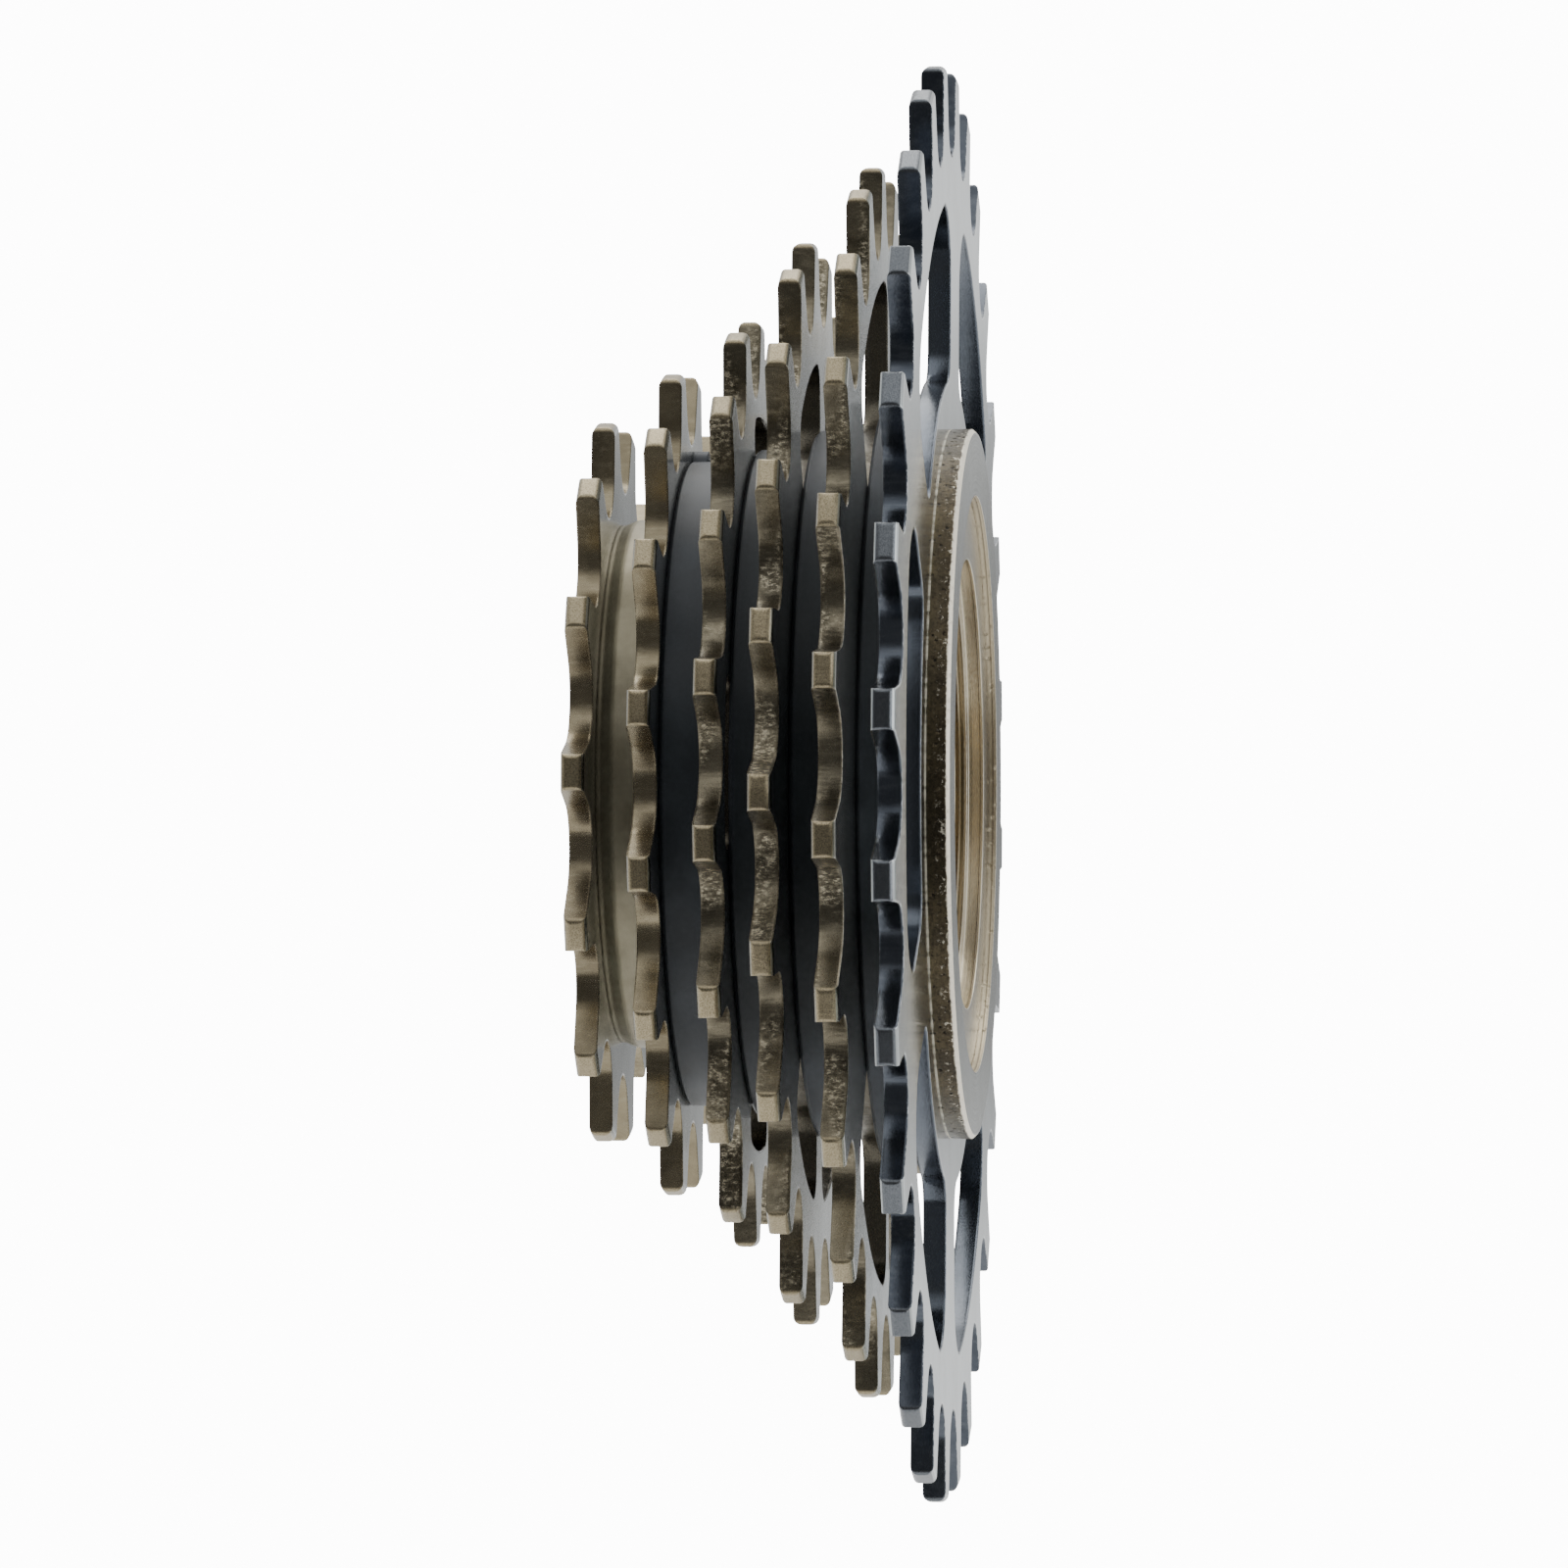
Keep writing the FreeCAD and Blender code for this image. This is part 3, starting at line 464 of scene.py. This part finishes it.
def small_steel(name, tone, rough):
    """Plain turned steel for the pieces inside."""
    g = Graph(name)
    cloud = g.noise(1.2, 4.0, 0.6)
    lines = g.noise(1.0, 2.0, 0.5, vector=g.join(
        g.math("MULTIPLY", g.y, 9.0), g.math("MULTIPLY", g.radius, 9.0), 0.0))
    color = g.mix(g.step(cloud, 0.35, 0.7), tone, srgb(120, 118, 114))
    value = g.math("ADD", rough, g.math("MULTIPLY", cloud, 0.15))
    g.bump(g.math("ADD", lines, cloud), 0.12, 0.03)
    return g.finish(color, value, 1.0)


def rubber_material(name):
    """Dull black rubber of the seal ring."""
    g = Graph(name)
    cloud = g.noise(2.0, 4.0, 0.6)
    color = g.mix(cloud, srgb(20, 20, 21), srgb(42, 42, 43))
    g.bump(g.noise(8.0, 3.0, 0.6), 0.25, 0.04)
    return g.finish(color, g.math("ADD", 0.55, g.math("MULTIPLY", cloud, 0.2)), 0.0)


def give(node, material):
    """Put one material on a piece of the frame."""
    mesh = frame["nodes"][node].data
    mesh.materials.clear()
    mesh.materials.append(material)


LOOKS = {"14t": PLAIN, "16t": dict(PLAIN, collar_r=22.5), "28t": DARK}
for key, (teeth, crown) in TEETH.items():
    node = "sprocket_" + key
    top_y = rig.box(node)[1][1] * MM
    looks = LOOKS.get(key, BRONZE)
    give(node, sprocket_material("plate_" + key, teeth, crown, top_y - PLATE, looks))

black = spacer_material("spacer_black")
for node in ("spacer_16_18", "spacer_18_21", "spacer_21_24", "spacer_24_28"):
    give(node, black)

CORE_RIM_R = 24.1
shell_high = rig.box("outer_body")[1]
hub_y = shell_high[1] * MM
give("outer_body", turned_material("shell_bronze", SHELL, shell_high[0] * MM, hub_y))
give("inner_body", turned_material("core_bronze", CORE, CORE_RIM_R, 0.0))
give("lock_cone", small_steel("cone_steel", srgb(150, 146, 138), 0.30))
shim = small_steel("shim_steel", srgb(190, 190, 188), 0.26)
give("shim_thick", shim)
give("shim_thin", shim)
give("pawl_spring_ring", small_steel("spring_wire", srgb(160, 160, 162), 0.30))
pawl = small_steel("pawl_steel", srgb(140, 138, 134), 0.34)
give("pawl_a", pawl)
give("pawl_b", pawl)
balls = small_steel("ball_steel", srgb(225, 225, 228), 0.08)
give("hub_side_balls", balls)
give("outer_balls", balls)
give("outer_seal", rubber_material("seal_rubber"))

# ----------------------------------------------------------------------- stage
target = Vector((0.0, -0.01553, 0.0))   # middle of the sprocket stack
swing = math.radians(5.293)             # turned this far toward the hub side
distance = 0.8411
camera_data = bpy.data.cameras.new("camera")
camera_data.sensor_width = 36.0
camera_data.lens = 228.68
camera_data.clip_start = 0.05
camera_data.clip_end = 20.0
camera = bpy.data.objects.new("camera", camera_data)
camera.location = target + Vector((math.cos(swing), math.sin(swing), 0.0)) * distance
camera.rotation_euler = (target - camera.location).to_track_quat("-Z", "Y").to_euler()
bpy.context.scene.collection.objects.link(camera)
bpy.context.scene.camera = camera


def stage_material(name, tone, glow):
    g = Graph(name)
    cloud = g.noise(0.004, 2.0, 0.5)
    color = g.mix(cloud, srgb(*tone), srgb(*[min(255, t + 4) for t in tone]))
    g.put(g.bsdf.inputs["Emission Color"], (1.0, 1.0, 1.0, 1.0))
    g.bsdf.inputs["Emission Strength"].default_value = glow
    return g.finish(color, 0.9, 0.0)


def sheet(name, corners, material):
    mesh = bpy.data.meshes.new(name)
    mesh.from_pydata([tuple(c) for c in corners], [], [(0, 1, 2, 3)])
    mesh.materials.append(material)
    obj = bpy.data.objects.new(name, mesh)
    bpy.context.scene.collection.objects.link(obj)
    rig.stage(obj)
    return obj


pale = stage_material("studio_white", (240, 240, 240), 0.15)
floor_z = -0.13
floor_back = -0.72
floor_front = 0.14
floor_side = 1.6
sheet("floor", [(floor_back, -floor_side, floor_z), (floor_front, -floor_side, floor_z),
                (floor_front, floor_side, floor_z), (floor_back, floor_side, floor_z)], pale)


def softbox(name, place, aim, width, height, power, tone):
    data = bpy.data.lights.new(name, "AREA")
    data.shape = "RECTANGLE"
    data.size = width
    data.size_y = height
    data.energy = power
    data.color = tone
    obj = bpy.data.objects.new(name, data)
    obj.location = place
    obj.rotation_euler = (Vector(aim) - Vector(place)).to_track_quat("-Z", "Y").to_euler()
    bpy.context.scene.collection.objects.link(obj)
    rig.stage(obj)
    return obj


softbox("over", (-0.46, -0.03, 0.72), (0, -0.015, 0), 0.8, 0.6, 3.0, (1.0, 0.985, 0.95))

# bright behind the part, above and at the hub side; dark behind the camera;
# plain white where the camera itself looks
SEEN_STRENGTH = 13.0
world = bpy.data.worlds.new("studio")
world.use_nodes = True
tree = world.node_tree
tree.nodes.clear()
coord = tree.nodes.new("ShaderNodeTexCoord")
parts = tree.nodes.new("ShaderNodeSeparateXYZ")
tree.links.new(coord.outputs["Generated"], parts.inputs[0])


def ramp(source, a, b, low, high):
    """low where the source is a, high where it is b, smooth between."""
    node = tree.nodes.new("ShaderNodeMapRange")
    node.interpolation_type = "SMOOTHSTEP"
    node.inputs["From Min"].default_value = a
    node.inputs["From Max"].default_value = b
    node.inputs["To Min"].default_value = low
    node.inputs["To Max"].default_value = high
    tree.links.new(source, node.inputs["Value"])
    return node.outputs["Result"]


def join_two(op, a, b):
    node = tree.nodes.new("ShaderNodeMath")
    node.operation = op
    tree.links.new(a, node.inputs[0])
    tree.links.new(b, node.inputs[1])
    return node.outputs[0]


behind = ramp(parts.outputs[0], 0.45, -0.25, 0.0, 1.0)
behind = join_two("MULTIPLY", behind, ramp(parts.outputs[2], -0.15, -0.75, 1.0, 0.30))
square = join_two("MULTIPLY", parts.outputs[2], parts.outputs[2])
behind = join_two("MULTIPLY", behind, ramp(square, 0.0, 0.0030, 0.32, 1.0))
above = ramp(parts.outputs[2], 0.24, 0.85, 0.0, 1.15)
glow = join_two("MAXIMUM", behind, above)
glow = join_two("MAXIMUM", glow, ramp(parts.outputs[2], -0.60, -0.97, 0.15, 0.90))
glow = join_two("MAXIMUM", glow, ramp(parts.outputs[1], 0.70, 0.92, 0.0, 2.6))
around = tree.nodes.new("ShaderNodeBackground")
tree.links.new(glow, around.inputs["Strength"])
around.inputs["Color"].default_value = (0.97, 0.99, 1.0, 1.0)
seen = tree.nodes.new("ShaderNodeBackground")
seen.inputs["Color"].default_value = (1.0, 1.0, 1.0, 1.0)
seen.inputs["Strength"].default_value = SEEN_STRENGTH
path = tree.nodes.new("ShaderNodeLightPath")
either = tree.nodes.new("ShaderNodeMixShader")
tree.links.new(path.outputs["Is Camera Ray"], either.inputs[0])
tree.links.new(around.outputs[0], either.inputs[1])
tree.links.new(seen.outputs[0], either.inputs[2])
end = tree.nodes.new("ShaderNodeOutputWorld")
tree.links.new(either.outputs[0], end.inputs[0])
bpy.context.scene.world = world

note_size("finished")
